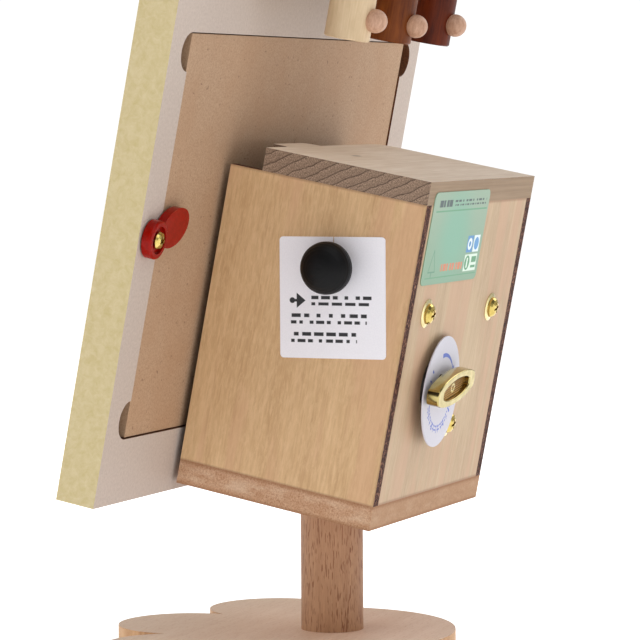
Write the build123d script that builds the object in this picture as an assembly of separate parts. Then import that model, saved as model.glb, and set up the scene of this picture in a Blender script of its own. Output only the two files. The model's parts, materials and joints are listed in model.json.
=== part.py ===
from build123d import *
import math
import os

os.makedirs("parts", exist_ok=True)

# Wind up music box: a leaning picture frame that rocks in front of a box on a post.
# Millimetres. World: +X to the viewer's right from the front, front towards -Y, +Z up.
# Origin: the post's axis on the underside of the base.
# The box and the frame are drawn in a leaned frame, with x across, y = depth behind the
# picture frame's back, z = height up the lean, and LEAN puts them in the world.

# driving dimensions
LEAN_DEG = 11.1
BASE_T = 12.0
POST_R = 7.5
LEAN_Y = -24.73
LEAN_Z = BASE_T + 44.1
LEAN = Location((0, LEAN_Y, LEAN_Z), (-LEAN_DEG, 0, 0))

CASE_HX = 36.2        # half width of the case
CASE_Y0 = 1.5         # front edges of the case, just clear of the picture frame
CASE_Y1 = 50.6        # back face of the case
CASE_H = 70.0         # height of the side panels
PLY = 3.0
BOTTOM_T = 5.7
TOP_T = 5.4
TOP_Y0 = 9.5          # front edge of the top board

FRAME_HX = 76.2
FRAME_T = 9.4
FRAME_Z0, FRAME_Z1 = -7.9, 114.9
REBATE_HX, REBATE_Z0, REBATE_Z1 = 65.8, 7.1, 99.8
REBATE_D = 5.1
NOTCH_R = 4.45
WINDOW_HX, WINDOW_HZ = 58.5, 39.5
WINDOW_ZC = (REBATE_Z0 + REBATE_Z1) / 2

KEY_X, KEY_Z = 12.2, 27.3          # winding key, spring barrel and drive shaft
STOP_Y, STOP_Z = 31.0, 51.8        # stopper rod
CYL_Y = 30.0                       # pin cylinder axis, level with the key axis
BARREL_R = 9.3
BARREL_Y0, BARREL_Y1 = 33.6, 43.2
CROWN_TEETH, PINION_TEETH = 36, 16
WHEEL_TEETH, IDLER_TEETH = 48, 12
IDLER_Z = KEY_Z - 8.9
WORM_X, WORM_Y = -27.5, 25.6
PIVOT_Z = 6.0                      # pivot on which the picture frame rocks
CRANK_R = 4.0
FIG_X = (26.5, 0.0, -26.5)
FIG_Y, FIG_Z0, FIG_R = 20.5, 102.8, 5.3
FIG_PIVOT_Z = 118.0
BEAM_Z0, BEAM_Z1, BEAM_Y1 = 114.9, 120.9, 14.4
MOUNT_SCREWS = ((23.9, 44.5), (-20.1, 43.6), (-4.1, 16.3))
BUTTON_X, BUTTON_Z = 71.0, 53.5


def block(x0, x1, y0, y1, z0, z1):
    return Pos((x0 + x1) / 2, (y0 + y1) / 2, (z0 + z1) / 2) * Box(x1 - x0, y1 - y0, z1 - z0)


def rod_x(y, z, r, x0, x1):
    return Pos((x0 + x1) / 2, y, z) * Rot(0, 90, 0) * Cylinder(r, x1 - x0)


def rod_y(x, z, r, y0, y1):
    return Pos(x, (y0 + y1) / 2, z) * Rot(90, 0, 0) * Cylinder(r, y1 - y0)


def rod_z(x, y, r, z0, z1):
    return Pos(x, y, (z0 + z1) / 2) * Cylinder(r, z1 - z0)


def plate_xz(sketch, x, z, y0, y1, turn=0.0):
    """A flat piece drawn in x and z, from depth y0 to y1, turned about its own centre."""
    return Pos(x, y1, z) * Rot(0, turn, 0) * Rot(90, 0, 0) * extrude(sketch, y1 - y0)


def plate_yz(sketch, y, z, x0, x1):
    """A flat piece drawn in y and z, from x0 to x1."""
    return Plane((x0, y, z), x_dir=(0, 1, 0), z_dir=(1, 0, 0)) * extrude(sketch, x1 - x0)


def round_y(points, x, z):
    """A turned piece about the depth axis, from (radius, depth) points."""
    face = make_face(Polyline(*[(r, d) for r, d in points], close=True))
    return Pos(x, 0, z) * revolve(face, Axis.Y)


def round_x(points, y, z):
    """A turned piece about the x axis, from (x, radius) points."""
    face = make_face(Polyline(*points, close=True))
    return Pos(0, y, z) * revolve(face, Axis.X)


def gear(teeth, root, tip, root_share, tip_share, phase=0.0):
    """Outline of a spur gear; the first tooth points along +x before the phase."""
    step = 2 * math.pi / teeth
    points = []
    for i in range(teeth):
        middle = i * step + phase
        for radius, half in (
            (root, -root_share / 2),
            (tip, -tip_share / 2),
            (tip, tip_share / 2),
            (root, root_share / 2),
        ):
            angle = middle + half * step
            points.append((radius * math.cos(angle), radius * math.sin(angle)))
    return make_face(Polyline(*points, close=True))


def wire(points, r):
    """Round wire through points, with a ball at each bend."""
    shape = None
    for a, b in zip(points, points[1:]):
        line = Vector(*b) - Vector(*a)
        leg = Plane(origin=a, z_dir=line) * Pos(0, 0, line.length / 2) * Cylinder(r, line.length)
        shape = leg if shape is None else shape + leg
    for point in points[1:-1]:
        shape += Pos(*point) * Sphere(r)
    return shape


def save(name, shape, lean=True):
    """Writes one node, a group of its separate solids."""
    placed = LEAN * shape if lean else shape
    solids = placed.solids()
    whole = solids[0] if len(solids) == 1 else Compound(children=list(solids))
    export_step(whole, f"parts/{name}.step")


# ---------------------------------------------------------------- base and post, in the world
BASE_X = 4.2
base_face = Pos(BASE_X, -3.5) * Ellipse(37.8, 34.0)
for lobe_x, lobe_y in ((BASE_X + 0.8, -36.4), (BASE_X - 30.4, -26.0), (BASE_X + 31.6, -26.0)):
    base_face += Pos(lobe_x, lobe_y) * Circle(16.6)
base = extrude(base_face, BASE_T)
post_bar = rod_z(0, 0, POST_R, 4.0, 70.0)
base = base - post_bar
post = post_bar - LEAN * block(-30, 30, -20, 80, 0, 40)
save("base", base, lean=False)
save("post", post, lean=False)

# ---------------------------------------------------------------- case
bottom = block(-CASE_HX, CASE_HX, CASE_Y0, CASE_Y1, -BOTTOM_T, 0)
bottom = LEAN * bottom - post_bar
save("bottom_board", bottom, lean=False)
side = block(CASE_HX - PLY, CASE_HX, CASE_Y0, CASE_Y1, 0, CASE_H)
save("side_panel_stopper", side - rod_x(STOP_Y, STOP_Z, 1.4, 0, 60))
save("side_panel_plain", block(-CASE_HX, PLY - CASE_HX, CASE_Y0, CASE_Y1, 0, CASE_H))
back = block(PLY - CASE_HX, CASE_HX - PLY, CASE_Y1 - PLY, CASE_Y1, 0, CASE_H)
back -= rod_y(KEY_X, KEY_Z, 6.5, CASE_Y1 - 10, CASE_Y1 + 10)
for sx, sz in MOUNT_SCREWS:
    back -= rod_y(sx, sz, 1.5, CASE_Y1 - 10, CASE_Y1 + 10)
save("back_panel", back)
top = block(-CASE_HX, CASE_HX, TOP_Y0, CASE_Y1, CASE_H, CASE_H + TOP_T)
top += block(3.7, 23.5, 5.8, TOP_Y0 + 1, CASE_H, CASE_H + TOP_T)
corners = top.edges().filter_by(Axis.Z)
top = fillet([e for e in corners if e.center().X < 4.0 and e.center().Y < 6.0], 3.4)
corners = top.edges().filter_by(Axis.Z)
top = fillet([e for e in corners if e.center().X < -30 and e.center().Y < 12], 4.5)
save("top_board", top)

# paper labels on the case
label = RectangleRounded(26.0, 27.8, 0.9) - Pos(0.35, 7.05) * Circle(2.0)
label -= Pos(0.35, 11.0) * Rectangle(0.25, 8.0)
label_solid = Pos(CASE_HX, 32.0, 44.9) * Rot(LEAN_DEG, 0, 0) * plate_yz(label, 0, 0, 0, 0.2)
save("stopper_label", label_solid)
save("back_label", plate_xz(RectangleRounded(37.0, 21.6, 1.6), 13.5, 62.1, CASE_Y1, CASE_Y1 + 0.2))
disc = plate_xz(Circle(13.1) - Circle(4.6), 0, 0, -0.15, 0.15)
save("key_disc", Pos(KEY_X - 1.55, 52.75, KEY_Z - 1.8) * Rot(3.6, 0, 2.35) * disc)

# ---------------------------------------------------------------- movement: fixed pieces
screws = None
washers = None
for sx, sz in MOUNT_SCREWS:
    head = [(0, 41.6), (1.5, 41.6), (1.5, 50.95), (2.45, 51.05), (2.4, 51.5), (2.0, 52.05), (1.2, 52.45), (0, 52.6)]
    one = round_y(head, sx, sz)
    one -= plate_xz(Rectangle(2.6, 0.6) + Rectangle(0.6, 2.6), sx, sz, 51.9, 53.0, 20)
    screws = one if screws is None else screws + one
    cup = [(1.5, 50.6), (3.4, 50.6), (3.4, 50.75), (2.5, 51.05), (1.5, 50.95)]
    ring = round_y(cup, sx, sz)
    washers = ring if washers is None else washers + ring
save("mounting_screws", screws)
save("cup_washers", washers)

PLATE_Y = CASE_Y1 - PLY
bedplate = block(-32, 28, 44.5, PLATE_Y, 7.0, 49.5)
bedplate = fillet(bedplate.edges().filter_by(Axis.Y), 3.0)
bedplate += rod_y(KEY_X, KEY_Z, 4.2, 46, 49.4)
for sx, sz in (MOUNT_SCREWS[0], MOUNT_SCREWS[2]):
    bedplate += rod_y(sx, sz, 3.6, 41.5, 45)
bedplate += block(-22.0, -0.4, 30.4, 45, 42.4, 49.4)
for x0, x1, z0, z1 in ((0.8, 2.3, 24.2, 30.4), (-26.2, -24.6, 23.9, 30.7)):
    bedplate += block(x0, x1, 30.0, 45, z0, z1) + rod_x(CYL_Y, KEY_Z, (z1 - z0) / 2, x0, x1)
for x0, x1 in ((-20.6, -19.6), (-30.2, -29.2)):
    bedplate += block(x0, x1, 30.0, 45, IDLER_Z - 2, IDLER_Z + 2) + rod_x(CYL_Y, IDLER_Z, 2, x0, x1)
bedplate -= rod_y(KEY_X, KEY_Z, 1.66, 40, 55)
bedplate -= rod_x(CYL_Y, KEY_Z, 0.95, -30, 3)
bedplate -= rod_x(CYL_Y, IDLER_Z, 0.65, -31, -19)
for sx, sz in MOUNT_SCREWS:
    bedplate -= rod_y(sx, sz, 1.5, 41.6, 50)
COMB_SCREWS = ((-16.6, 46.0), (-5.2, 46.0))
for sx, sz in COMB_SCREWS:
    bedplate -= rod_y(sx, sz, 1.0, 28, 36.5)
save("bedplate", bedplate)

comb = block(-21.2, -1.0, 29.6, 30.4, 34.05, 49.2)
for i in range(17):
    slot_x = -21.2 + 1.12 * (i + 1) + 0.02
    comb -= block(slot_x - 0.15, slot_x + 0.15, 29, 31, 33, 42.4)
for sx, sz in COMB_SCREWS:
    comb -= rod_y(sx, sz, 1.0, 28, 32)
save("comb", comb)
comb_screws = None
for sx, sz in COMB_SCREWS:
    profile = [(0, 28.2), (1.9, 28.2), (2.1, 28.5), (2.1, 29.6), (1.0, 29.6), (1.0, 36.5), (0, 36.5)]
    one = round_y(profile, sx, sz) - block(sx - 2.2, sx + 2.2, 28, 28.8, sz - 0.3, sz + 0.3)
    comb_screws = one if comb_screws is None else comb_screws + one
save("comb_screws", comb_screws)

governor_bracket = block(-32.0, -31.0, 24.0, 44.5, 7.6, 24.2)
governor_bracket += block(-31.5, -26.0, 24.0, 27.2, 7.6, 8.8)
governor_bracket += block(-31.5, -26.0, 24.0, 27.2, 23.0, 24.2)
governor_bracket -= rod_z(WORM_X, WORM_Y, 0.55, 7.9, 30)
save("governor_bracket", governor_bracket)

clutch = None
for i in range(3):
    coil = Pos(KEY_X, 43.55 + 0.3 * i, KEY_Z) * Rot(90, 0, 0) * Torus(2.05, 0.15)
    clutch = coil if clutch is None else clutch + coil
clutch += wire([(KEY_X + 2.05, 43.85, KEY_Z), (KEY_X + 2.6, 43.85, KEY_Z + 5.4)], 0.15)
clutch += wire([(KEY_X + 2.6, 43.85, KEY_Z + 5.3), (KEY_X + 2.6, 44.5, KEY_Z + 5.3)], 0.15)
save("clutch_spring", clutch)

# ---------------------------------------------------------------- key, arbor, barrel
arbor = rod_y(KEY_X, KEY_Z, 1.6, 35.0, 55.2)
save("winding_arbor", arbor)
bow = Ellipse(14.0, 3.7) & Rectangle(23.0, 10.0)
key = plate_xz(bow, KEY_X, KEY_Z, 54.1, 57.2, 8.8)
key -= plate_xz(Ellipse(8.1, 2.3), KEY_X, KEY_Z, 56.2, 58, 8.8)
key += rod_y(KEY_X, KEY_Z, 1.95, 50.4, 54.2)
key -= rod_y(KEY_X, KEY_Z, 1.6, 50, 55.2)
save("winding_key", key)

barrel = rod_y(KEY_X, KEY_Z, BARREL_R, BARREL_Y0, BARREL_Y1)
barrel -= rod_y(KEY_X, KEY_Z, BARREL_R - 0.6, BARREL_Y0 + 1.0, BARREL_Y1 + 1)
tooth = make_face(Polyline((-0.29, 0.2), (-0.17, -0.6), (0.17, -0.6), (0.29, 0.2), close=True))
tooth = extrude(tooth, 1.6)
for i in range(CROWN_TEETH):
    turn = (i + 0.5) * 360 / CROWN_TEETH
    place = Pos(KEY_X, BARREL_Y0, KEY_Z) * Rot(0, turn, 0) * Pos(0, 0, 6.8)
    barrel += place * tooth
barrel -= rod_y(KEY_X, KEY_Z, 1.5, 30, 36)
save("spring_barrel", barrel)

spiral = []
TURNS = 6.5
for i in range(int(TURNS * 24) + 1):
    share = i / (TURNS * 24)
    angle = share * TURNS * 2 * math.pi
    spiral.append((angle, 2.0 + share * 6.1))
outer = [((r + 0.18) * math.cos(a), (r + 0.18) * math.sin(a)) for a, r in spiral]
inner = [((r - 0.18) * math.cos(a), (r - 0.18) * math.sin(a)) for a, r in spiral]
band = make_face(Polyline(*(outer + inner[::-1]), close=True))
save("mainspring", plate_xz(band, KEY_X, KEY_Z, 35.2, 42.6))

save("drive_shaft", rod_y(KEY_X, KEY_Z, 1.5, 5.4, 34.6))
crank = rod_y(KEY_X, KEY_Z, 6.4, 5.4, 7.0) + rod_y(KEY_X, KEY_Z, 3.0, 6.5, 10.0)
crank -= rod_y(KEY_X, KEY_Z, 1.5, 5, 11)
crank -= rod_y(KEY_X + CRANK_R, KEY_Z, 1.0, 5, 8)
save("crank_disc", crank)
save("crank_pin", rod_y(KEY_X + CRANK_R, KEY_Z, 1.0, 2.4, 7.0))

# ---------------------------------------------------------------- cylinder and governor
pinion_x = KEY_X - 8.3
pinion = gear(PINION_TEETH, 2.8, 3.45, 0.50, 0.24)
pinion = plate_yz(pinion, CYL_Y, KEY_Z, pinion_x, pinion_x + 1.4)
save("cylinder_arbor", pinion + rod_x(CYL_Y, KEY_Z, 0.9, -27.2, 6.4))
phase = math.radians(-90)
wheel = plate_yz(gear(WHEEL_TEETH, 6.75, 7.36, 0.50, 0.26, phase), CYL_Y, KEY_Z, -23.2, -21.8)
save("cylinder_wheel", wheel - rod_x(CYL_Y, KEY_Z, 0.9, -30, 10))
cylinder = rod_x(CYL_Y, KEY_Z, 6.3, -20.9, -0.4)
for i in range(18):
    pin_x = -20.64 + 1.12 * i
    for j in range(4):
        turn = (i * 47 + j * 89 + i * j * 13) % 360
        place = Pos(pin_x, CYL_Y, KEY_Z) * Rot(turn, 0, 0) * Pos(0, 0, 6.35)
        cylinder += place * Cylinder(0.17, 0.5)
save("pin_cylinder", cylinder - rod_x(CYL_Y, KEY_Z, 0.9, -30, 10))

idler_turn = math.radians(90 + 180 / IDLER_TEETH)
idler = plate_yz(gear(IDLER_TEETH, 1.36, 2.02, 0.50, 0.20, idler_turn), CYL_Y, IDLER_Z, -23.2, -21.8)
save("idler_arbor", idler + rod_x(CYL_Y, IDLER_Z, 0.6, -30.1, -19.8))
worm_wheel = plate_yz(gear(20, 2.8, 3.2, 0.5, 0.3), CYL_Y, IDLER_Z, WORM_X - 0.7, WORM_X + 0.7)
save("worm_wheel", worm_wheel - rod_x(CYL_Y, IDLER_Z, 0.6, -31, -10))
worm = rod_z(WORM_X, WORM_Y, 0.5, 8.0, 24.0) + rod_z(WORM_X, WORM_Y, 0.8, 15.4, 21.4)
for i in range(6):
    worm += rod_z(WORM_X, WORM_Y, 1.1, 15.7 + i, 16.1 + i)
save("worm_shaft", worm)
fly = rod_z(WORM_X, WORM_Y, 1.2, 10.0, 13.8)
fly += block(WORM_X - 0.25, WORM_X + 0.25, WORM_Y - 2.9, WORM_Y + 2.9, 10.2, 13.6)
save("governor_fly", fly - rod_z(WORM_X, WORM_Y, 0.5, 8, 20))

# ---------------------------------------------------------------- stopper
knob = [(39.7, 0), (39.7, 5.6), (40.0, 6.0), (41.2, 6.05)]
for i in range(1, 9):
    a = math.radians(i * 90 / 8)
    knob.append((41.2 + 4.3 * math.sin(a), 6.05 * math.cos(a)))
knob[-1] = (45.5, 0)
knob = round_x(knob, STOP_Y, STOP_Z) - rod_x(STOP_Y, STOP_Z, 1.0, 30, 43.3)
save("stopper_knob", knob)
finger_x = -23.7
finger = wire(
    [
        (finger_x, STOP_Y - 1.0, STOP_Z),
        (finger_x, 20.0, STOP_Z),
        (finger_x, 20.0, 15.0),
        (finger_x, 26.0, 11.8),
    ],
    0.45,
)
save("stopper_rod", finger + rod_x(STOP_Y, STOP_Z, 1.0, -24.4, 43.3))

# ---------------------------------------------------------------- picture frame
frame = block(-FRAME_HX, FRAME_HX, -FRAME_T, 0, FRAME_Z0, FRAME_Z1)
frame -= block(-REBATE_HX, REBATE_HX, -REBATE_D, 1, REBATE_Z0, REBATE_Z1)
for side_sign in (-1, 1):
    for notch_z in (REBATE_Z0 + NOTCH_R, REBATE_Z1 - NOTCH_R):
        frame -= rod_y(side_sign * REBATE_HX, notch_z, NOTCH_R, -REBATE_D, 1)
frame -= block(-WINDOW_HX, WINDOW_HX, -20, 1, WINDOW_ZC - WINDOW_HZ, WINDOW_ZC + WINDOW_HZ)
BRACKET_SCREWS = ((-9.5, 3.6), (9.5, 3.6))
BEAM_SCREWS = ((-16.0, -4.7), (16.0, -4.7))
for sx, sz in BRACKET_SCREWS:
    frame -= rod_y(sx, sz, 1.0, -7.0, 1)
for sx, sy in BEAM_SCREWS:
    frame -= rod_z(sx, sy, 1.2, 102.0, 116)
for side_sign in (-1, 1):
    frame -= rod_y(side_sign * BUTTON_X, BUTTON_Z, 1.1, -7.5, 1)
save("frame_board", frame)
save("glazing", block(-65.4, 65.4, -REBATE_D, -3.6, REBATE_Z0 + 0.4, REBATE_Z1 - 0.4))
save("photo_print", block(-63.5, 63.5, -3.6, -3.3, 9.0, 98.0))
save("frame_back", block(-65.4, 65.4, -3.3, -0.35, REBATE_Z0 + 0.35, REBATE_Z1 - 0.3))


def turn_button(x, turn):
    """Boss with a leaf shaped paddle, pointing along -x before the turn."""
    leaf = Pos(-8.4, 0) * Ellipse(7.1, 4.25) + Pos(-3.5, 0) * Rectangle(6, 5.2)
    shape = plate_xz(leaf, 0, 0, 0.35, 2.3)
    shape += round_y([(0, 0.35), (4.4, 0.35), (4.4, 2.2), (4.25, 2.5), (3.9, 2.65), (0, 2.65)], 0, 0)
    shape -= rod_y(0, 0, 1.5, 0, 3) + rod_y(0, 0, 3.15, 1.9, 3)
    return Pos(x, 0, BUTTON_Z) * Rot(0, turn, 0) * shape


save("turn_button_left", turn_button(BUTTON_X, 17.0))
save("turn_button_right", turn_button(-BUTTON_X, 180.0 - 9.0))
button_screws = None
for side_sign in (-1, 1):
    head = [(0, -7.5), (1.1, -7.5), (1.1, 2.3), (2.0, 2.3), (2.0, 2.6), (1.7, 3.1), (1.0, 3.45), (0, 3.55)]
    one = round_y(head, side_sign * BUTTON_X, BUTTON_Z)
    cross = Rectangle(2.2, 0.5) + Rectangle(0.5, 2.2)
    one -= plate_xz(cross, side_sign * BUTTON_X, BUTTON_Z, 3.0, 4.0, 35)
    button_screws = one if button_screws is None else button_screws + one
save("button_screws", button_screws)

# the pivot and the yoke that rock the frame
bracket = block(-13, 13, 0, 1.2, 0.6, 6.9) + rod_y(0, PIVOT_Z, 4.0, 0, 4.6)
arm = make_face(Polyline((-3.6, 5.2), (3.2, 3.8), (16.0, 18.4), (6.0, 19.4), close=True))
bracket += plate_xz(arm, 0, 0, 3.0, 4.6)
yoke = RectangleRounded(19.4, 20.4, 3) - RectangleRounded(14.4, 15.4, 1.5)
bracket += plate_xz(yoke, KEY_X, KEY_Z, 3.0, 4.6)
bracket -= rod_y(0, PIVOT_Z, 1.5, 1.6, 6)
bracket_screws = None
for sx, sz in BRACKET_SCREWS:
    flat = [(0, -7.0), (1.0, -7.0), (1.0, 0.2), (1.9, 1.2), (0, 1.2)]
    one = round_y(flat, sx, sz)
    bracket -= one
    one -= block(sx - 1.2, sx + 1.2, 0.7, 2, sz - 0.2, sz + 0.2)
    bracket_screws = one if bracket_screws is None else bracket_screws + one
save("rocker_bracket", bracket)
save("bracket_screws", bracket_screws)
save("pivot_pin", rod_y(0, PIVOT_Z, 1.5, 1.6, 17.6))
clip = Circle(3.0) - Circle(1.5) - Pos(0, -2.4) * Rectangle(2.2, 3.0)
save("retaining_clip", plate_xz(clip, 0, PIVOT_Z, 16.4, 17.0))
save("pivot_block", block(-9, 9, 5.7, 15.6, 0, 12) - rod_y(0, PIVOT_Z, 2.5, 0, 20))
bush = rod_y(0, PIVOT_Z, 2.5, 5.6, 16.0) + rod_y(0, PIVOT_Z, 3.8, 4.95, 5.7)
save("pivot_bush", bush - rod_y(0, PIVOT_Z, 1.56, 0, 20))

# ---------------------------------------------------------------- beam and figures
beam = block(-38, 38, -FRAME_T, BEAM_Y1, BEAM_Z0, BEAM_Z1)
beam = chamfer(beam.edges().filter_by(Axis.X), 0.5)
beam_screws = None
for sx, sy in BEAM_SCREWS:
    body = [(0, 102.0), (1.2, 102.0), (1.2, 119.4), (2.4, BEAM_Z1), (0, BEAM_Z1)]
    one = revolve(make_face(Polyline(*body, close=True)), Axis.Y)
    one = Pos(sx, sy, 0) * Rot(90, 0, 0) * one
    beam -= one
    slot = Rectangle(2.6, 0.5) + Rectangle(0.5, 2.6)
    one -= Pos(sx, sy, BEAM_Z1 - 0.7) * extrude(slot, 2)
    beam_screws = one if beam_screws is None else beam_screws + one
save("beam_screws", beam_screws)
pins = None
for fx in FIG_X:
    beam -= rod_y(fx, FIG_PIVOT_Z, 1.0, 6.0, 20)
    pin = rod_y(fx, FIG_PIVOT_Z, 1.0, 6.0, 21.0)
    pins = pin if pins is None else pins + pin
save("figure_beam", beam)
save("figure_pins", pins)


def pose(shape, fx):
    return Pos(fx, FIG_Y, 0) * shape


TAIL_Z = (108.0, 107.4, 108.2)
for number, fx in enumerate(FIG_X, start=1):
    body = Pos(0, 0, (FIG_Z0 + 125.0) / 2) * Cylinder(FIG_R, 125.0 - FIG_Z0)
    body = chamfer(body.edges().filter_by(GeomType.CIRCLE), 0.3)
    tail = Pos(0, 6.3, TAIL_Z[number - 1]) * Sphere(2.75)
    body -= tail
    body -= Pos(0, -2.6, FIG_PIVOT_Z) * Rot(90, 0, 0) * Cylinder(1.06, 6.4)
    for ax in (-3.6, 3.6):
        body += Pos(ax, -4.6, 123.2) * Rot(90, 0, 0) * Cylinder(1.3, 5.6)
        body += Pos(ax, -7.4, 123.2) * Sphere(1.5)
    head = Pos(0, 0, 131.2) * Sphere(7.4)
    head += Pos(0, -6.6, 129.8) * Sphere(2.9)
    for ex in (-5.0, 5.0):
        head += Pos(ex, 0, 137.0) * Rot(90, 0, 0) * Cylinder(2.6, 2.4)
    head -= Pos(0, 0, 120.0) * Box(30, 30, 10.0)
    save(f"figure_{number}_body", pose(body, fx))
    save(f"figure_{number}_head", pose(head, fx))
    save(f"figure_{number}_tail", pose(tail, fx))
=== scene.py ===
import json
import math

import bmesh
import bpy
from mathutils import Matrix, Vector


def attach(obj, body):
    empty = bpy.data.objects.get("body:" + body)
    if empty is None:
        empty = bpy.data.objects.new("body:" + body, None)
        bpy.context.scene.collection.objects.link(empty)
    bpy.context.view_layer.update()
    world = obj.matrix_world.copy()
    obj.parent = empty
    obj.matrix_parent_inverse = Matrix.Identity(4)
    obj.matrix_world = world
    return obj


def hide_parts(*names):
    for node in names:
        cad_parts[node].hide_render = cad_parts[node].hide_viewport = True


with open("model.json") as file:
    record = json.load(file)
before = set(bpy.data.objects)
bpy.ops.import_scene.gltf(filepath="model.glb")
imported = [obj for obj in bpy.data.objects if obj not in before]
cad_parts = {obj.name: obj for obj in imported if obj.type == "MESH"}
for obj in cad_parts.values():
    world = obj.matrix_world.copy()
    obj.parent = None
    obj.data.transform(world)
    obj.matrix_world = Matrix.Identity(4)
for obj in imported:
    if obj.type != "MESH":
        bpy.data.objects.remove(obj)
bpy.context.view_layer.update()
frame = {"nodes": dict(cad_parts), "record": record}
NODES = frame["nodes"]

# the leaned frame of the case: x across, y = depth behind the picture frame, z up the lean, in mm
LEAN = math.radians(11.1)
LEAN_O = Vector((0.0, -24.73, 56.1))
TILT = Matrix.Rotation(-LEAN, 4, "X")
TO_WORLD = Matrix.Scale(0.001, 4) @ Matrix.Translation(LEAN_O) @ TILT


# places shared by the pieces and their print, in mm
KEY_X, KEY_Z, KEY_TURN = 12.2, 27.3, math.radians(8.8)
CARD_CENTRE, CARD_R, CARD_T = (10.65, 52.75, 25.5), 13.1, 0.3
CARD_TILT = math.radians(3.6), math.radians(2.35)
HUB_HOLE_R = 2.45
STOP_LABEL_CORNER = 2.31, 107.9        # the upper left corner, in world y and z
STICKER_CORNER = 32.0, 72.9            # the upper left corner, in leaned x and z
FIGURE_X = 26.5, 0.0, -26.5


def at(x, y, z):
    """A point of the leaned frame, in mm, as a row frame point in metres."""
    return TO_WORLD @ Vector((x, y, z))


# ------------------------------------------------------------------ node helpers
class Mat:
    """One procedural material on a Principled shader."""

    def __init__(self, name, lean=True, **shader):
        self.m = bpy.data.materials.new(name)
        self.m.use_nodes = True
        self.t = self.m.node_tree
        self.t.nodes.clear()
        out = self.t.nodes.new("ShaderNodeOutputMaterial")
        self.b = self.t.nodes.new("ShaderNodeBsdfPrincipled")
        self.t.links.new(self.b.outputs[0], out.inputs[0])
        for key, value in shader.items():
            self.b.inputs[key.replace("_", " ")].default_value = value
        coords = self.t.nodes.new("ShaderNodeTexCoord")
        self.raw_normal = coords.outputs["Normal"]
        turn = (LEAN, 0, 0) if lean else (0, 0, 0)
        shift = -(Matrix.Rotation(LEAN, 3, "X") @ LEAN_O) if lean else Vector()
        place = self.node("ShaderNodeMapping", {"Vector": coords.outputs["Object"], "Location": shift,
                                                "Rotation": turn, "Scale": (1000, 1000, 1000)})
        self.p = place.outputs[0]
        facing = self.node("ShaderNodeMapping", {"Vector": self.raw_normal, "Rotation": turn},
                           vector_type="NORMAL")
        self.n = facing.outputs[0]

    def node(self, kind, inputs=None, **props):
        made = self.t.nodes.new(kind)
        for key, value in props.items():
            setattr(made, key, value)
        for key, value in (inputs or {}).items():
            socket = made.inputs[key]
            if isinstance(value, bpy.types.NodeSocket):
                self.t.links.new(value, socket)
            else:
                socket.default_value = value
        return made

    def xyz(self, vector):
        return self.node("ShaderNodeSeparateXYZ", {0: vector}).outputs

    def scale(self, vector, by):
        return self.node("ShaderNodeVectorMath", {0: vector, 1: by}, operation="MULTIPLY").outputs[0]

    def add(self, vector, by):
        return self.node("ShaderNodeVectorMath", {0: vector, 1: by}, operation="ADD").outputs[0]

    def noise(self, by, detail=4.0, rough=0.55, warp=0.0, vector=None):
        """Noise with its own size along each axis: by is waves per mm along x, y, z."""
        source = self.scale(self.p if vector is None else vector, by)
        made = self.node("ShaderNodeTexNoise", {"Vector": source, "Scale": 1.0, "Detail": detail,
                                                "Roughness": rough, "Distortion": warp})
        return made.outputs[0]

    def math(self, op, a, b=0.0, c=0.0, clamp=False):
        return self.node("ShaderNodeMath", {0: a, 1: b, 2: c}, operation=op, use_clamp=clamp).outputs[0]

    def band(self, value, low, high):
        """0 below low, 1 above high, smooth between."""
        return self.node("ShaderNodeMapRange", {"Value": value, "From Min": low, "From Max": high},
                         interpolation_type="SMOOTHSTEP").outputs[0]

    def both(self, *values):
        made = values[0]
        for value in values[1:]:
            made = self.math("MULTIPLY", made, value)
        return made

    def inside(self, value, low, high, soft=0.05):
        over, under = self.band(value, low - soft, low + soft), self.band(value, high + soft, high - soft)
        return self.both(over, under)

    def most(self, *values):
        made = values[0]
        for value in values[1:]:
            made = self.math("MAXIMUM", made, value)
        return made

    def box(self, u, v, u0, u1, v0, v1, soft=0.06):
        return self.both(self.inside(u, u0, u1, soft), self.inside(v, v0, v1, soft))

    def far(self, u, v, u0, v0):
        """Distance from a point, in mm."""
        du, dv = self.math("SUBTRACT", u, u0), self.math("SUBTRACT", v, v0)
        squares = self.math("ADD", self.math("MULTIPLY", du, du), self.math("MULTIPLY", dv, dv))
        return self.math("SQRT", squares)

    def dashes(self, u, pitch, seed, fill=0.62):
        """Dashes of uneven length along u."""
        sway = self.math("SINE", self.math("MULTIPLY_ADD", u, 1.9, seed))
        beat = self.math("FRACT", self.math("MULTIPLY_ADD", sway, 0.16, self.math("DIVIDE", u, pitch)))
        return self.inside(beat, 0.04, fill, 0.03)

    def mix(self, fac, a, b, mode="MIX"):
        made = self.node("ShaderNodeMix", {"Factor": fac}, data_type="RGBA", blend_type=mode)
        for index, value in ((6, a), (7, b)):
            if isinstance(value, bpy.types.NodeSocket):
                self.t.links.new(value, made.inputs[index])
            else:
                made.inputs[index].default_value = rgb(value)
        return made.outputs[2]

    def ramp(self, value, stops):
        made = self.node("ShaderNodeValToRGB", {"Fac": value})
        bar = made.color_ramp.elements
        while len(bar) < len(stops):
            bar.new(0.5)
        for element, (place, colour) in zip(bar, stops):
            element.position = place
            element.color = rgb(colour)
        return made.outputs[0]

    def bump(self, height, depth, strength=1.0):
        """depth is in mm."""
        before = self.b.inputs["Normal"].links
        inputs = {"Height": height, "Distance": depth / 1000, "Strength": strength}
        if before:
            inputs["Normal"] = before[0].from_socket
        made = self.node("ShaderNodeBump", inputs)
        self.t.links.new(made.outputs[0], self.b.inputs["Normal"])

    def set(self, name, value):
        if isinstance(value, bpy.types.NodeSocket):
            self.t.links.new(value, self.b.inputs[name])
        else:
            self.b.inputs[name].default_value = value

    def rough(self, value, low, high):
        made = self.node("ShaderNodeMapRange", {"Value": value, "To Min": low, "To Max": high})
        self.set("Roughness", made.outputs[0])


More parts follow.
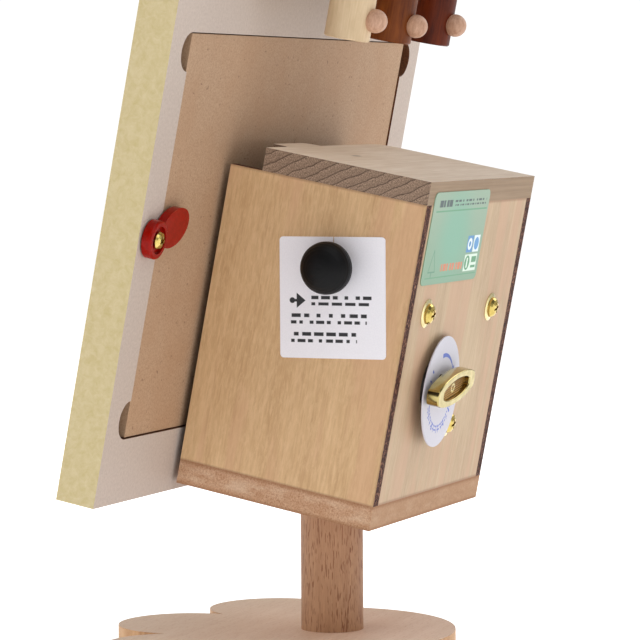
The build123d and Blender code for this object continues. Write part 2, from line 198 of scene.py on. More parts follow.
def rgb(c):
    """Screen colour 0-255 to linear, or a linear colour left alone."""
    if max(c) <= 1.0:
        return (*c[:3], 1.0)
    out = []
    for v in c[:3]:
        v /= 255.0
        out.append(v / 12.92 if v <= 0.04045 else ((v + 0.055) / 1.055) ** 2.4)
    return (*out, 1.0)


def wood(name, light, dark, along, fibre=2.6, streak=0.35, fleck=None, rough=(0.5, 0.66), lean=True,
         depth=0.05):
    """Bare wood. along is the grain's axis, 0, 1 or 2; fleck darkens short dashes."""
    m = Mat(name, lean=lean)
    stretch = [1.0, 1.0, 1.0]
    stretch[along] = 0.06
    fine = m.noise([fibre * s for s in stretch], detail=5, rough=0.6)
    wide = m.noise([streak * s for s in stretch], detail=3, warp=0.6)
    patch = m.noise([0.035] * 3, detail=2)
    tone = m.math("ADD", m.math("MULTIPLY", fine, 0.45), m.math("MULTIPLY", wide, 0.4))
    tone = m.math("ADD", tone, m.math("MULTIPLY", patch, 0.25))
    colour = m.ramp(tone, [(0.40, dark), (0.68, light)])
    if fleck:
        dash = [2.9] * 3
        dash[along] = 0.5
        marks = m.band(m.noise(dash, detail=1.0, rough=0.4), 0.60, 0.70)
        colour = m.mix(m.math("MULTIPLY", marks, fleck[1]), colour, fleck[0])
    m.bump(fine, depth, 0.5)
    m.rough(fine, *rough)
    return m, colour


# ------------------------------------------------------------------ materials
def beech_base():
    m, colour = wood("beech_base", (246, 222, 202), (234, 206, 183), 0,
                     fleck=((206, 160, 128), 0.35), lean=False)
    side = m.band(m.math("ABSOLUTE", m.xyz(m.n)[2]), 0.7, 0.5)
    edge = m.ramp(m.noise([0.5, 0.5, 0.08], detail=4), [(0.35, (176, 128, 84)), (0.65, (206, 164, 120))])
    m.set("Base Color", m.mix(side, colour, edge))
    return m.m


def beech_post():
    m, colour = wood("beech_post", (194, 152, 116), (164, 119, 86), 2, fibre=4.5,
                           fleck=((134, 84, 52), 0.5), lean=False)
    rays = m.band(m.noise([2.6, 2.6, 0.32], detail=1.0, rough=0.4), 0.60, 0.67)
    m.set("Base Color", m.mix(m.math("MULTIPLY", rays, 0.7), colour, (126, 74, 44)))
    return m.m


def side_ply():
    m, colour = wood("side_ply", (210, 174, 130), (184, 146, 102), 2, fibre=3.0, streak=0.30)
    mottle = m.noise([1.4, 1.4, 0.30], detail=6, rough=0.75, warp=0.3)
    colour = m.mix(m.math("MULTIPLY", m.band(mottle, 0.42, 0.64), 0.42), colour, (222, 188, 146))
    pink = m.noise([0.12, 0.12, 0.012], detail=3)
    colour = m.mix(m.math("MULTIPLY", m.band(pink, 0.48, 0.58), 0.5), colour, (202, 158, 122))
    burnt = m.ramp(m.noise([2.2, 2.2, 1.3], detail=5, rough=0.8),
                   [(0.45, (44, 18, 12)), (0.54, (80, 40, 28)), (0.64, (172, 124, 98))])
    edge = m.band(m.math("ABSOLUTE", m.xyz(m.n)[0]), 0.75, 0.55)
    _, py, pz = m.xyz(m.p)
    rim = m.math("MAXIMUM", m.band(pz, 69.3, 69.95), m.band(pz, 0.5, 0.05))
    rim = m.math("MAXIMUM", rim, m.band(py, 50.1, 50.58))
    colour = m.mix(m.math("MULTIPLY", rim, 0.45), colour, (120, 78, 50))
    m.set("Base Color", m.mix(edge, colour, burnt))
    m.set("Specular IOR Level", m.math("MULTIPLY_ADD", edge, -0.4, 0.5))
    return m.m


def back_ply():
    m, colour = wood("back_ply", (200, 176, 143), (174, 145, 114), 2, fibre=2.2, streak=0.20)
    mottle = m.noise([1.4, 1.4, 0.30], detail=6, rough=0.75, warp=0.3)
    colour = m.mix(m.math("MULTIPLY", m.band(mottle, 0.46, 0.66), 0.3), colour, (206, 185, 157))
    pink = m.noise([0.10, 0.10, 0.012], detail=3)
    colour = m.mix(m.math("MULTIPLY", m.band(pink, 0.44, 0.58), 0.55), colour, (198, 158, 130))
    px, _, pz = m.xyz(m.p)
    rim = m.math("MAXIMUM", m.band(pz, 69.2, 69.95), m.band(pz, 0.8, 0.05))
    rim = m.math("MAXIMUM", rim, m.band(m.math("ABSOLUTE", px), 32.8, 33.18))
    colour = m.mix(m.math("MULTIPLY", rim, 0.6), colour, (140, 96, 66))
    hole = m.band(m.xyz(m.n)[1], 0.6, 0.3)
    m.set("Base Color", m.mix(hole, colour, (70, 44, 32)))
    return m.m


def mdf_edge():
    m = Mat("mdf_edge", Roughness=0.85)
    pz = m.xyz(m.p)[2]
    speck = m.noise([2.4, 2.4, 2.4], detail=5, rough=0.75)
    soft = m.noise([0.25, 0.25, 0.5], detail=2)
    colour = m.ramp(speck, [(0.34, (150, 104, 74)), (0.52, (188, 148, 116)), (0.70, (206, 170, 140))])
    colour = m.mix(m.math("MULTIPLY", m.band(soft, 0.4, 0.7), 0.3), colour, (160, 110, 72))
    smudge = m.band(m.noise([0.10, 0.10, 0.3], detail=5, rough=0.75), 0.46, 0.64)
    pale = m.both(smudge, m.inside(pz, -4.4, -1.2, 0.8))
    is_back = m.band(m.xyz(m.n)[1], 0.5, 0.8)
    colour = m.mix(m.math("MULTIPLY", is_back, 0.6), colour, (170, 134, 102))
    amount = m.math("MULTIPLY_ADD", is_back, -0.25, 0.42)
    colour = m.mix(m.math("MULTIPLY", pale, amount), colour, (218, 192, 166))
    rim = m.math("MAXIMUM", m.band(pz, -1.1, -0.1), m.band(pz, -4.7, -5.65))
    colour = m.mix(m.math("MULTIPLY", rim, 0.6), colour, (138, 92, 58))
    m.set("Base Color", colour)
    m.bump(speck, 0.12, 0.6)
    return m.m


def top_board():
    m, colour = wood("top_board", (242, 226, 208), (220, 198, 174), 0, fibre=1.8, streak=0.5)
    x, y, z = m.xyz(m.n)
    px, py, pz = m.xyz(m.p)
    # end grain: growth rings that slant across the board's ends
    slant = m.math("ADD", m.math("MULTIPLY", py, 0.62), m.math("MULTIPLY", pz, -1.0))
    slant = m.math("ADD", slant, m.math("MULTIPLY", m.noise([0.1, 0.25, 0.25], detail=2), 1.6))
    saw = m.math("FRACT", m.math("MULTIPLY", slant, 0.42))
    ring = m.band(saw, 0.80, 0.97)
    cross = m.math("ADD", m.math("MULTIPLY", py, 0.85), m.math("MULTIPLY", pz, 0.53))
    weave = m.node("ShaderNodeCombineXYZ", {0: m.math("MULTIPLY", cross, 5.5),
                                            1: m.math("MULTIPLY", slant, 2.2)})
    pores = m.noise([1.0, 1.0, 1.0], detail=3, rough=0.7, vector=weave.outputs[0])
    end = m.ramp(pores, [(0.36, (84, 62, 48)), (0.62, (178, 150, 126))])
    early = m.band(saw, 0.1, 0.6)
    end = m.mix(m.math("MULTIPLY", early, 0.35), end, (120, 96, 78))
    end = m.mix(m.math("MULTIPLY", ring, 0.8), end, (66, 42, 28))
    # the back edge shows long grain
    lines = m.noise([0.03, 0.5, 1.4], detail=5, rough=0.65, warp=0.2)
    long_face = m.ramp(lines, [(0.32, (136, 110, 82)), (0.68, (158, 132, 104))])
    is_end = m.band(m.math("ABSOLUTE", x), 0.5, 0.75)
    is_back = m.band(m.math("ABSOLUTE", y), 0.5, 0.75)
    colour = m.mix(is_end, colour, end)
    colour = m.mix(is_back, colour, long_face)
    # a small dark knot mark on the top
    dx = m.math("MULTIPLY", m.math("ADD", px, -10.0), 0.35)
    dy = m.math("ADD", py, -21.5)
    far = m.math("SQRT", m.math("ADD", m.math("MULTIPLY", dx, dx), m.math("MULTIPLY", dy, dy)))
    knot = m.both(m.band(far, 1.2, 0.4), m.band(z, 0.6, 0.9))
    m.set("Base Color", m.mix(m.math("MULTIPLY", knot, 0.6), colour, (120, 96, 80)))
    return m.m


def frame_board():
    m = Mat("frame_board", Roughness=0.62)
    y = m.xyz(m.n)[1]
    px, py, pz = m.xyz(m.p)
    mottle = m.noise([0.55, 0.55, 0.55], detail=6, rough=0.72, warp=0.5)
    paper = m.ramp(mottle, [(0.30, (194, 176, 124)), (0.50, (203, 186, 141)), (0.70, (211, 195, 155))])
    grey = m.noise([1.4, 1.4, 1.4], detail=5, rough=0.7)
    back = m.ramp(grey, [(0.35, (186, 170, 159)), (0.65, (200, 185, 174))])
    cut = m.ramp(m.noise([2.0, 2.0, 2.0], detail=4, rough=0.7),
                 [(0.35, (84, 48, 26)), (0.65, (128, 80, 48))])
    is_back = m.band(y, 0.6, 0.8)
    colour = m.mix(is_back, paper, back)
    within = m.both(m.inside(px, -70.6, 70.6, 0.1), m.inside(pz, 6.0, 100.9, 0.1), m.band(y, 0.8, 0.6))
    within = m.both(within, m.band(m.math("ABSOLUTE", y), 0.8, 0.6))
    floor = m.both(m.inside(px, -70.5, 70.5, 0.1), m.inside(pz, 6.5, 100.5, 0.1), m.band(py, -0.4, -0.8),
                   is_back)
    colour = m.mix(m.math("MAXIMUM", within, floor), colour, cut)
    m.set("Base Color", colour)
    m.bump(mottle, 0.06, 0.5)
    m.bump(grey, 0.03, 0.4)
    return m.m


def brown_board():
    m = Mat("brown_board", Roughness=0.72)
    speck = m.noise([2.2, 2.2, 2.2], detail=6, rough=0.8)
    cloud = m.noise([0.07, 0.07, 0.07], detail=3)
    colour = m.ramp(speck, [(0.30, (152, 117, 88)), (0.5, (181, 148, 118)), (0.72, (198, 167, 138))])
    colour = m.mix(m.math("MULTIPLY", m.band(cloud, 0.35, 0.7), 0.35), colour, (172, 132, 98))
    dots = m.noise([0.9, 0.9, 0.9], detail=2, rough=0.4)
    colour = m.mix(m.math("MULTIPLY", m.band(dots, 0.70, 0.76), 0.7), colour, (120, 84, 60))
    m.set("Base Color", colour)
    m.bump(speck, 0.05, 0.6)
    return m.m


def painted(name, light, dark, rough=0.5, gloss=0.25):
    m = Mat(name, Roughness=rough, Specular_IOR_Level=gloss)
    grain = m.noise([2.4, 2.4, 0.12], detail=5, rough=0.65)
    blotch = m.noise([0.3, 0.3, 0.12], detail=3)
    tone = m.math("ADD", m.math("MULTIPLY", grain, 0.5), m.math("MULTIPLY", blotch, 0.5))
    m.set("Base Color", m.ramp(tone, [(0.36, dark), (0.64, light)]))
    m.bump(grain, 0.05, 0.5)
    m.rough(grain, rough - 0.08, rough + 0.12)
    return m.m


def bare_ball():
    m = Mat("bare_ball")
    grain = m.noise([1.6, 1.6, 0.5], detail=5, rough=0.65)
    m.set("Base Color", m.ramp(grain, [(0.34, (176, 132, 106)), (0.66, (206, 166, 140))]))
    m.bump(grain, 0.04, 0.5)
    m.rough(grain, 0.45, 0.6)
    return m.m


def plastic(name, colour, rough, speckle=0.02, coat=0.0, gloss=0.5):
    m = Mat(name, lean=False, Specular_IOR_Level=gloss)
    m.set("Coat Weight", coat)
    m.set("Coat Roughness", 0.08)
    skin = m.noise([1.2, 1.2, 1.2], detail=3)
    fine = m.noise([9.0, 9.0, 9.0], detail=2)
    dark = tuple(c * 0.88 for c in colour)
    m.set("Base Color", m.ramp(skin, [(0.35, dark), (0.65, colour)]))
    m.rough(fine, rough - 0.04, rough + 0.06)
    m.bump(fine, speckle, 0.4)
    return m.m


def metal(name, colour, rough, brushed=0.0, dull=None):
    m = Mat(name, lean=False, Metallic=1.0)
    cloud = m.noise([0.5, 0.5, 0.5], detail=4)
    fine = m.noise([6.0, 6.0, 6.0], detail=3)
    low = dull or tuple(c * 0.86 for c in colour)
    m.set("Base Color", m.ramp(cloud, [(0.35, low), (0.65, colour)]))
    m.rough(fine, rough * 0.8, rough * 1.3)
    if brushed:
        m.bump(fine, brushed, 0.4)
    return m.m


def gold_plate():
    """Pale bright plating, with painted reflection: a dark streak on the ends where they face a little
    upwards, and browner where it turns down.
    """
    m = Mat("gold_plate", Metallic=1.0)
    cloud = m.noise([0.5, 0.5, 0.5], detail=4)
    fine = m.noise([6.0, 6.0, 6.0], detail=3)
    colour = m.ramp(cloud, [(0.35, (170, 154, 96)), (0.65, (192, 177, 120))])
    x, y, z = m.xyz(m.n)
    # painted reflection: a dark streak on the ends where they face a little upwards
    painted_dark_reflection = m.both(m.inside(z, 0.10, 0.34, 0.05), m.band(m.math("ABSOLUTE", x), 0.55, 0.8))
    colour = m.mix(m.math("MULTIPLY", painted_dark_reflection, 0.9), colour, (40, 26, 10))
    # painted reflection: the plating is painted browner where it turns down
    low = m.both(m.band(z, -0.25, -0.6), m.band(m.math("ABSOLUTE", y), 0.9, 0.6))
    colour = m.mix(m.math("MULTIPLY", low, 0.6), colour, (136, 100, 34))
    m.set("Base Color", colour)
    m.rough(fine, 0.10, 0.18)
    return m.m


def paper(name, colour, shade, lean=True):
    m = Mat(name, lean=lean)
    fibre = m.noise([3.0, 3.0, 3.0], detail=5, rough=0.7)
    m.rough(fibre, 0.42, 0.55)
    m.bump(fibre, 0.012, 0.5)
    return m, m.ramp(fibre, [(0.3, shade), (0.7, colour)])


def white_label():
    """The stopper's label, upright in the world, with a pull arrow and plain dashes."""
    m, colour = paper("white_label", (238, 236, 242), (230, 228, 235), lean=False)
    _, py, pz = m.xyz(m.p)
    u, v = m.math("SUBTRACT", py, STOP_LABEL_CORNER[0]), m.math("SUBTRACT", STOP_LABEL_CORNER[1], pz)
    head = m.math("SUBTRACT", 6.4, u)
    off_middle = m.math("ABSOLUTE", m.math("SUBTRACT", v, 14.6))
    slope = m.math("SUBTRACT", head, m.math("MULTIPLY", off_middle, 1.25))
    arrow = m.both(m.band(slope, -0.05, 0.1), m.band(u, 4.1, 4.25))
    marks = m.most(arrow, m.box(u, v, 3.2, 4.3, 14.3, 14.9), m.band(m.far(u, v, 3.1, 14.6), 0.75, 0.6),
                   m.both(m.box(u, v, 7.8, 22.6, 13.5, 14.3), m.dashes(u, 2.6, 0.3)),
                   m.both(m.box(u, v, 7.8, 22.6, 15.0, 15.7), m.dashes(u, 3.3, 2.0)))
    for row, (end, seed) in enumerate(((21.4, 1.1), (19.0, 4.0))):
        top = 17.6 + 4.25 * row
        marks = m.most(marks, m.both(m.box(u, v, 2.7, end, top, top + 0.85), m.dashes(u, 2.9, seed)),
                       m.both(m.box(u, v, 2.7, end, top + 1.6, top + 2.35), m.dashes(u, 2.3, seed + 2.0)))
    m.set("Base Color", m.mix(marks, colour, (26, 27, 32)))
    return m.m


def sticker_paper():
    """The green sticker: a header of dashes, ruled lines, a little tree and four plain signs."""
    m = Mat("green_label")
    px, _, pz = m.xyz(m.p)
    u, v = m.math("SUBTRACT", STICKER_CORNER[0], px), m.math("SUBTRACT", STICKER_CORNER[1], pz)
    fibre = m.noise([2.5, 2.5, 2.5], detail=4)
    colour = m.mix(m.band(v, 2.0, 21.0), (141, 167, 143), (121, 159, 130))
    cloud = m.band(m.far(u, v, 17.0, 10.0), 15.0, 3.0)
    colour = m.mix(m.math("MULTIPLY", cloud, 0.75), colour, (108, 172, 146))
    colour = m.mix(m.math("MULTIPLY", fibre, 0.10), colour, (110, 148, 126))
    header = m.both(m.box(u, v, 3.4, 12.2, 1.9, 3.5), m.dashes(u, 2.0, 0.5, 0.86))
    header = m.most(header, m.both(m.box(u, v, 13.5, 35.2, 2.0, 2.5), m.dashes(u, 2.3, 1.5)),
                    m.both(m.box(u, v, 13.5, 35.2, 3.0, 3.4), m.dashes(u, 1.7, 3.5)))
    colour = m.mix(header, colour, (46, 72, 72))
    rules = m.most(m.box(u, v, 2.0, 36.2, 4.3, 4.65), m.box(u, v, 2.0, 36.0, 19.9, 20.15))
    colour = m.mix(rules, colour, (84, 150, 112))
    # signs
    colour = m.mix(m.box(u, v, 27.0, 31.0, 10.9, 14.9), colour, (58, 132, 190))
    colour = m.mix(m.band(m.far(u, v, 29.0, 12.9), 1.5, 1.35), colour, (224, 236, 240))
    colour = m.mix(m.band(m.far(u, v, 29.0, 12.9), 0.75, 0.6), colour, (58, 132, 190))
    colour = m.mix(m.box(u, v, 31.4, 35.4, 10.9, 14.9), colour, (222, 236, 242))
    colour = m.mix(m.band(m.far(u, v, 33.4, 12.9), 1.6, 1.45), colour, (66, 142, 200))
    colour = m.mix(m.box(u, v, 27.0, 35.4, 15.4, 19.4), colour, (214, 232, 218))
    colour = m.mix(m.band(m.far(u, v, 29.0, 17.4), 1.8, 1.65), colour, (74, 146, 100))
    colour = m.mix(m.box(u, v, 28.6, 29.4, 16.2, 18.6), colour, (222, 238, 224))
    colour = m.mix(m.box(u, v, 31.8, 35.0, 16.0, 17.4), colour, (74, 146, 100))
    colour = m.mix(m.box(u, v, 31.8, 35.0, 18.1, 18.7), colour, (74, 146, 100))
    # orange dashes
    orange = m.both(m.box(u, v, 11.0, 25.8, 17.0, 18.7), m.dashes(u, 1.9, 2.2, 0.7))
    colour = m.mix(m.math("MULTIPLY", orange, 0.9), colour, (212, 110, 62))
    # the outline of a fir
    lean = m.math("ABSOLUTE", m.math("SUBTRACT", u, 5.6))
    edge = m.math("SUBTRACT", m.math("MULTIPLY", m.math("SUBTRACT", v, 13.2), 0.42), lean)
    fir = m.both(m.inside(edge, 0.0, 0.32, 0.05), m.inside(v, 13.2, 18.8))
    fir = m.most(fir, m.box(u, v, 3.3, 7.9, 18.5, 18.8), m.box(u, v, 5.4, 5.8, 18.8, 20.0))
    colour = m.mix(m.math("MULTIPLY", fir, 0.85), colour, (62, 132, 104))
    m.set("Base Color", colour)
    m.rough(fibre, 0.34, 0.46)
    return m.m


def key_disc():
    """The card behind the key: a blue winding arrow and two rings of dashes."""
    m, colour = paper("key_disc", (209, 207, 218), (200, 198, 210))
    px, _, pz = m.xyz(m.p)
    u, v = m.math("SUBTRACT", CARD_CENTRE[0], px), m.math("SUBTRACT", pz, CARD_CENTRE[2])
    r = m.math("SQRT", m.math("ADD", m.math("MULTIPLY", u, u), m.math("MULTIPLY", v, v)))
    turn = m.math("ARCTAN2", v, u)
    width = m.math("MULTIPLY_ADD", turn, 0.28, 0.05)
    off_arc = m.math("ABSOLUTE", m.math("SUBTRACT", r, 8.6))
    arc = m.both(m.inside(turn, 0.62, 1.75, 0.01), m.band(m.math("SUBTRACT", width, off_arc), -0.06, 0.06))
    tail = m.math("SUBTRACT", m.math("MULTIPLY", m.math("SUBTRACT", turn, 0.32), 3.2), off_arc)
    head = m.both(m.band(tail, -0.04, 0.06), m.band(turn, 0.66, 0.64))
    along = m.math("MULTIPLY", turn, 9.0)
    rings = m.most(m.both(m.inside(r, 8.0, 8.45), m.dashes(along, 1.1, 0.4, 0.6)),
                   m.both(m.inside(r, 8.9, 9.3), m.dashes(along, 1.5, 2.4, 0.6)),
                   m.both(m.inside(r, 7.9, 9.8), m.dashes(along, 1.9, 1.4, 0.2)))
    rings = m.both(rings, m.inside(turn, -2.9, -0.35, 0.01))
    left = m.both(m.inside(r, 8.6, 9.7), m.inside(turn, 2.5, 3.0, 0.01),
                  m.dashes(m.math("MULTIPLY", turn, 9.2), 2.1, 1.0, 0.4))
    m.set("Base Color", m.mix(m.most(arc, head, rings, left), colour, (72, 100, 196)))
    return m.m


def photo_sheet():
    """A generic landscape: sky, two hills and a field."""
    m = Mat("photo_sheet", Roughness=0.25)
    px, _, pz = m.xyz(m.p)
    sky = m.ramp(m.math("MULTIPLY", pz, 0.01), [(0.45, (214, 232, 240)), (0.95, (120, 172, 214))])
    puff = m.band(m.noise([0.05, 0.05, 0.11], detail=5), 0.52, 0.66)
    sky = m.mix(m.math("MULTIPLY", puff, 0.8), sky, (245, 247, 250))
    far_line = m.math("MULTIPLY_ADD", m.math("SINE", m.math("MULTIPLY", px, 0.05)), 7.0, 52.0)
    near_line = m.math("MULTIPLY_ADD", m.math("SINE", m.math("MULTIPLY_ADD", px, 0.035, 2.0)), 8.0, 36.0)
    grass = m.noise([0.6, 0.6, 1.4], detail=6)
    hill = m.ramp(grass, [(0.3, (96, 132, 110)), (0.7, (132, 164, 130))])
    field = m.ramp(grass, [(0.3, (104, 140, 58)), (0.7, (164, 188, 92))])
    colour = m.mix(m.band(m.math("SUBTRACT", far_line, pz), -0.5, 0.5), sky, hill)
    colour = m.mix(m.band(m.math("SUBTRACT", near_line, pz), -0.5, 0.5), colour, field)
    m.set("Base Color", colour)
    return m.m


def clear_sheet():
    m = Mat("clear_sheet", Transmission_Weight=1.0, IOR=1.49)
    smear = m.noise([0.05, 0.05, 0.05], detail=3)
    m.set("Base Color", m.ramp(smear, [(0.3, (244, 250, 250)), (0.7, (252, 255, 255))]))
    m.rough(smear, 0.01, 0.05)
    return m.m


MATERIALS = {
    "beech": beech_base(),
    "post": beech_post(),
    "mdf_edge": mdf_edge(),
    "ply_side": side_ply(),
    "ply_back": back_ply(),
    "top_wood": top_board(),
    "white_label": white_label(),
    "key_disc": key_disc(),
    "green_label": sticker_paper(),
    "gold": gold_plate(),
    "screws": metal("screw_gold", (214, 192, 116), 0.13, dull=(192, 168, 88)),
    # the washers get a paler copy of the screws' gold, standing in for the bright reflection on their flat
    # flanges: painted reflection
    "washers": metal("washer_gold_painted_reflection", (226, 214, 164), 0.16, dull=(208, 194, 138)),
    "steel": metal("plain_steel", (180, 180, 184), 0.32, brushed=0.01),
    "die_cast": metal("die_cast", (150, 151, 154), 0.5, brushed=0.03),
    "brass": metal("turned_brass", (206, 168, 92), 0.26, brushed=0.008),
    "nylon": plastic("nylon", (226, 222, 208), 0.45),
    "black_plastic": plastic("black_plastic", (10, 10, 12), 0.45, 0.02, gloss=0.16),
    "red_plastic": plastic("red_plastic", (154, 12, 0), 0.2, 0.003, coat=0.04, gloss=0.12),
    "frame_paper": frame_board(),
    "clear_sheet": clear_sheet(),
    "picture": photo_sheet(),
    "brown_board": brown_board(),
    "cream_paint": painted("cream_paint", (222, 198, 164), (200, 174, 138)),
    "brown_paint": painted("brown_stain", (128, 66, 18), (84, 34, 2), rough=0.44, gloss=0.22),
    "dark_paint": painted("dark_stain", (108, 40, 6), (64, 14, 0), rough=0.44, gloss=0.2),
    "bare_ball": bare_ball(),
}
SLOT_OF = {s["node"]: s["material_slot"] for s in frame["record"]["subparts"]}
for node_name, node_object in NODES.items():
    own = {"post": "post", "key_disc": "key_disc", "mounting_screws": "screws", "cup_washers": "washers",
           "button_screws": "screws"}
    finish = MATERIALS[own.get(node_name, SLOT_OF[node_name])]
    node_object.data.materials.clear()
    node_object.data.materials.append(finish)


# ------------------------------------------------------------------ pieces made here
def piece(name, verts, faces, material, body, local=at, smooth=True):
    mesh = bpy.data.meshes.new(name)
    mesh.from_pydata([tuple(local(*v)) for v in verts], [], faces)
    bm = bmesh.new()
    bm.from_mesh(mesh)
    bmesh.ops.recalc_face_normals(bm, faces=bm.faces)
    for face in bm.faces:
        face.smooth = smooth
    bm.to_mesh(mesh)
    bm.free()
    mesh.materials.append(material)
    obj = bpy.data.objects.new(name, mesh)
    bpy.context.scene.collection.objects.link(obj)
    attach(obj, body)
    return obj


def soften(obj, width, angle=35, segments=3):
    bevel = obj.modifiers.new("bevel", "BEVEL")
    bevel.width = width / 1000
    bevel.segments = segments
    bevel.limit_method = "ANGLE"
    bevel.angle_limit = math.radians(angle)
    bevel.harden_normals = True
    return obj


def gold_floor():
    """The ribbed floor of the key's recess, with painted shade in the grooves, a painted highlight on the
    crests and on the raised ring.
    """
    m = Mat("gold_ribs", Metallic=1.0)
    px, _, pz = m.xyz(m.p)
    across = m.math("ADD", m.math("MULTIPLY", pz, 0.988), m.math("MULTIPLY", px, 0.153))
    ribs = m.math("SINE", m.math("MULTIPLY", across, 11.0))
    grit = m.noise([4.0, 4.0, 4.0], detail=3)
    # painted shade and highlight: the grooves between the ribs are painted dark, their crests pale
    colour = m.mix(m.band(ribs, -0.6, 0.6), (80, 44, 8), (182, 138, 62))
    ring = m.inside(m.far(px, pz, KEY_X, KEY_Z), 0.6, 1.2, 0.1)
    # a painted highlight: the raised ring round the key's centre is painted paler than the plating
    colour = m.mix(ring, colour, (226, 214, 166))
    m.set("Base Color", colour)
    m.rough(grit, 0.28, 0.45)
    m.bump(ribs, 0.12, 0.8)
    m.bump(ring, 0.35, 0.8)
    return m.m


def key():
    """The boat shaped bow with its recess, and the hub behind it."""
    cosine, sine = math.cos(KEY_TURN), math.sin(KEY_TURN)

    def local(a, b, y):
        return at(KEY_X + a * cosine + b * sine, y, KEY_Z - a * sine + b * cosine)

    def outline(end, long, high, bulge):
        top = [(end * t / 6, high * math.sqrt(1 - (end * t / 6 / long) ** 2)) for t in range(-6, 7)]
        tip = top[-1][1]
        right = [(end + bulge * (1 - t * t), -tip * t) for t in (-0.6, -0.2, 0.2, 0.6)]
        half = top + right
        return half + [(-a, -b) for a, b in half]

    outer, inner = outline(11.2, 12.7, 3.7, 0.5), outline(7.9, 8.5, 2.25, 0.15)
    n = len(outer)
    rings = [(outer, 54.1), (outer, 57.2), (inner, 57.2), (inner, 56.1)]
    verts = [(a, b, y) for ring, y in rings for a, b in ring]
    faces = [tuple(range(n))]
    for k in range(3):
        for i in range(n):
            j = (i + 1) % n
            faces.append((k * n + i, k * n + j, (k + 1) * n + j, (k + 1) * n + i))
    bow = piece("key_bow", verts, faces, MATERIALS["gold"], "key", local)
    soften(bow, 0.34, 40)
    floor_verts = [(a * 0.985, b * 0.985, 56.12) for a, b in inner]
    piece("key_recess", floor_verts, [tuple(range(n))], gold_floor(), "key", local)
    hub_rings = [(1.95, 50.4), (1.95, 53.4), (2.4, 53.8), (2.4, 54.2)]
    m = 32
    turns = [2 * math.pi * i / m for i in range(m)]
    verts = [(r * math.cos(a), r * math.sin(a), y) for r, y in hub_rings for a in turns]
    faces = [(k * m + i, k * m + (i + 1) % m, (k + 1) * m + (i + 1) % m, (k + 1) * m + i)
             for k in range(len(hub_rings) - 1) for i in range(m)]
    faces.append(tuple(range(m)))
    piece("key_hub", verts, faces, MATERIALS["gold"], "key", local)
    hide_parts("winding_key")


def card():
    """The round card that hangs on the key, tilted, with a hole that clears the hub."""
    tilt = Matrix.Rotation(CARD_TILT[0], 4, "X") @ Matrix.Rotation(CARD_TILT[1], 4, "Z")
    n = 96

    def local(x, y, z):
        return at(*(Vector(CARD_CENTRE) + tilt @ Vector((x, y, z))))

    def circle(cx, cz, r, y):
        turns = [2 * math.pi * i / n for i in range(n)]
        return [(cx + r * math.cos(a), y, cz + r * math.sin(a)) for a in turns]

    hole_x, hole_z, half = KEY_X - CARD_CENTRE[0], KEY_Z - CARD_CENTRE[2], CARD_T / 2
    verts = circle(0, 0, CARD_R, half) + circle(0, 0, CARD_R, -half)
    verts += circle(hole_x, hole_z, HUB_HOLE_R, -half) + circle(hole_x, hole_z, HUB_HOLE_R, half)
    faces = []
    for k in range(4):
        after = (k + 1) % 4
        for i in range(n):
            j = (i + 1) % n
            faces.append((k * n + i, k * n + j, after * n + j, after * n + i))
    made = piece("card", verts, faces, MATERIALS["key_disc"], "stand", local, smooth=False)
    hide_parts("key_disc")


def ball(centre, radii, rings=10, around=16):
    """Points and faces of a smooth egg about a point of the leaned frame."""
    (cx, cy, cz), (rx, ry, rz) = centre, radii
    verts = [(cx, cy, cz + rz)]
    for k in range(1, rings):
        a = math.pi * k / rings
        for i in range(around):
            b = 2 * math.pi * i / around
            verts.append((cx + rx * math.sin(a) * math.cos(b), cy + ry * math.sin(a) * math.sin(b),
                          cz + rz * math.cos(a)))
    verts.append((cx, cy, cz - rz))
    faces = [(0, 1 + i, 1 + (i + 1) % around) for i in range(around)]
    for k in range(rings - 2):
        row, after = 1 + k * around, 1 + (k + 1) * around
        for i in range(around):
            j = (i + 1) % around
            faces.append((row + i, after + i, after + j, row + j))
    last = len(verts) - 1
    faces += [(last, last - around + (i + 1) % around, last - around + i) for i in range(around)]
    return verts, faces


def faces_of_figures():
    """Two dark eyes and a nose for each figure."""
    for number, x in enumerate(FIGURE_X, start=1):
        parts = (("left_eye", (x - 2.7, 13.9, 132.6), (0.75, 0.55, 0.85)),
                 ("right_eye", (x + 2.7, 13.9, 132.6), (0.75, 0.55, 0.85)),
                 ("nose", (x, 11.15, 130.7), (1.15, 0.7, 0.8)))
        for part, centre, radii in parts:
            verts, faces = ball(centre, radii)
            piece(f"figure_{number}_{part}", verts, faces, MATERIALS["black_plastic"], f"figure_{number}")


key()
card()
faces_of_figures()

# ------------------------------------------------------------------ stage, light and camera
FLOOR_GLOW, FILL, BACKDROP = 0.82, 0.18, 0.6
LIGHTS = (("key", (0.55, 0.75, 0.85), (0.6, 0.6), 1.5),
          ("left", (0.75, -0.8, 0.45), (0.6, 0.6), 1.3),
          ("top", (0.25, 0.25, 1.1), (0.8, 0.8), 2.4),
          ("front", (0.15, -1.0, 0.9), (0.6, 0.6), 3.0),
          ("rim", (-0.8, 0.45, 0.7), (0.7, 0.7), 3.6))

def stage():
    mesh = bpy.data.meshes.new("floor")
    mesh.from_pydata([(-6, -6, 0), (6, -6, 0), (6, 6, 0), (-6, 6, 0)], [], [(0, 1, 2, 3)])
    floor = bpy.data.objects.new("floor", mesh)
    bpy.context.scene.collection.objects.link(floor)
    m = Mat("floor_paper", lean=False, Roughness=0.9)
    grain = m.noise([0.02, 0.02, 0.02], detail=2)
    m.set("Base Color", m.ramp(grain, [(0.3, (244, 244, 244)), (0.7, (249, 249, 249))]))
    m.set("Emission Color", (1, 1, 1, 1))
    m.set("Emission Strength", FLOOR_GLOW)
    mesh.materials.append(m.m)


def area_light(name, place, target, size, power, colour=(1, 1, 1)):
    data = bpy.data.lights.new(name, "AREA")
    data.shape = "RECTANGLE"
    data.size, data.size_y = size
    data.energy = power
    data.color = colour
    light = bpy.data.objects.new(name, data)
    bpy.context.scene.collection.objects.link(light)
    light.location = place
    light.rotation_euler = (Vector(place) - Vector(target)).to_track_quat("Z", "Y").to_euler()


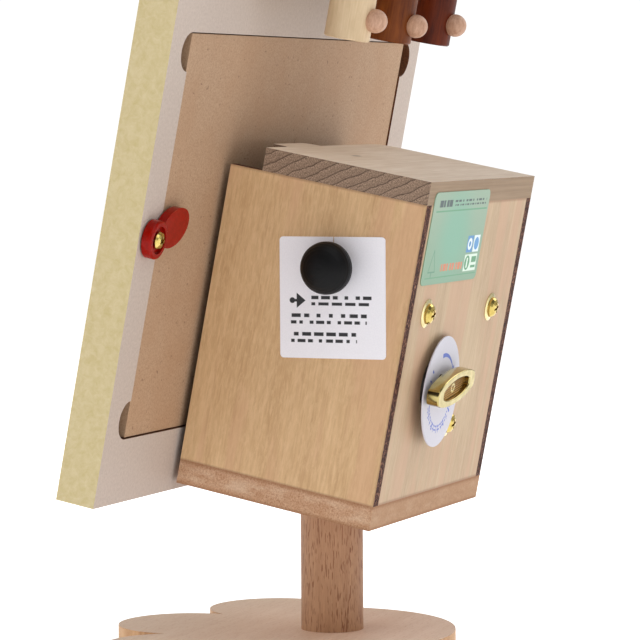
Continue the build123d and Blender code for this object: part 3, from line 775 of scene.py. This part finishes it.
def camera():
    """A long lens on the stopper's side, from behind, at the photograph's angle."""
    azimuth, elevation, roll = math.radians(112.369), math.radians(3.530), math.radians(-0.347)
    back = Vector((math.sin(azimuth) * math.cos(elevation), -math.cos(azimuth) * math.cos(elevation),
                   math.sin(elevation)))
    right = (-back).cross(Vector((0, 0, 1))).normalized()
    up = right.cross(-back)
    side = right * math.cos(roll) + up * math.sin(roll)
    top = up * math.cos(roll) - right * math.sin(roll)
    data = bpy.data.cameras.new("camera")
    data.sensor_width = 36.0
    data.lens = 186.76
    data.clip_start = 0.01
    cam = bpy.data.objects.new("camera", data)
    bpy.context.scene.collection.objects.link(cam)
    turn = Matrix((side, top, back)).transposed().to_4x4()
    cam.matrix_world = Matrix.Translation(Vector((0.73625, 0.30024, 0.13555))) @ turn
    bpy.context.scene.camera = cam


def studio():
    """A white backdrop that the camera sees at full white, with a softer fill on the object."""
    world = bpy.data.worlds.new("studio")
    bpy.context.scene.world = world
    world.use_nodes = True
    tree = world.node_tree
    fill = tree.nodes["Background"]
    fill.inputs[0].default_value = (1, 0.985, 0.97, 1)
    # brighter near the horizon, as a white backdrop is
    coords = tree.nodes.new("ShaderNodeTexCoord")
    parts = tree.nodes.new("ShaderNodeSeparateXYZ")
    rise = tree.nodes.new("ShaderNodeMapRange")
    rise.interpolation_type = "SMOOTHSTEP"
    for key_name, value in (("From Min", 0.22), ("From Max", 0.5), ("To Min", BACKDROP), ("To Max", FILL)):
        rise.inputs[key_name].default_value = value
    tree.links.new(coords.outputs["Generated"], parts.inputs[0])
    tree.links.new(parts.outputs[2], rise.inputs["Value"])
    tree.links.new(rise.outputs[0], fill.inputs[1])
    backdrop = tree.nodes.new("ShaderNodeBackground")
    backdrop.inputs[0].default_value = (1, 1, 1, 1)
    backdrop.inputs[1].default_value = 1.05
    seen = tree.nodes.new("ShaderNodeLightPath")
    both = tree.nodes.new("ShaderNodeMixShader")
    tree.links.new(seen.outputs["Is Camera Ray"], both.inputs[0])
    tree.links.new(fill.outputs[0], both.inputs[1])
    tree.links.new(backdrop.outputs[0], both.inputs[2])
    tree.links.new(both.outputs[0], tree.nodes["World Output"].inputs[0])
    bpy.context.scene.view_settings.view_transform = "Standard"
    middle = (0, 0, 0.09)
    for name, place, size, power in LIGHTS:
        area_light(name, place, middle, size, power)


camera()
studio()
stage()
